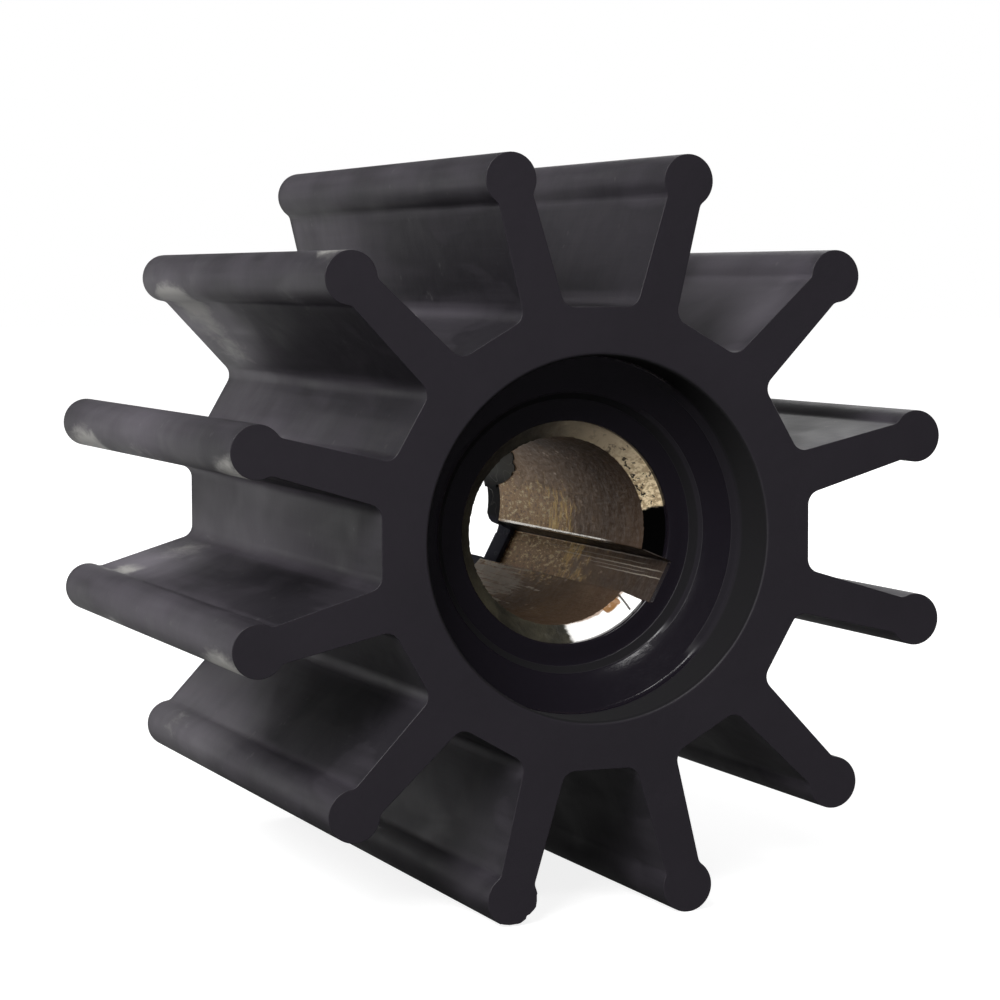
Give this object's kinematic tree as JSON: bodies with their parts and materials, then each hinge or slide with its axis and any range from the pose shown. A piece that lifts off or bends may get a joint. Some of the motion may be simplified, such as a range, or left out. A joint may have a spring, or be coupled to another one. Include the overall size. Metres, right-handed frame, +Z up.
{
  "type": "rubber pump impeller",
  "caption": "Flexible rubber impeller for a marine raw-water pump: beaded radial blades on a flat-sided hub with a keyed brass bush.",
  "frame": {"origin": "on the shaft axis at mid-width, which is the centre of the bounding box", "axes": "+Y along the shaft axis, away from the face with the stepped recess; +Z up, between two blades, as it rests on two blade tips"},
  "size_m": [0.063, 0.0556, 0.063],
  "materials": {
    "rubber": "matte moulded black rubber with a grey bloom",
    "brass": "tarnished, turned brass with bright worn faces"
  },
  "bodies": {
    "root": {"rubber_body": "rubber", "bush": "brass"}
  },
  "joints": []
}
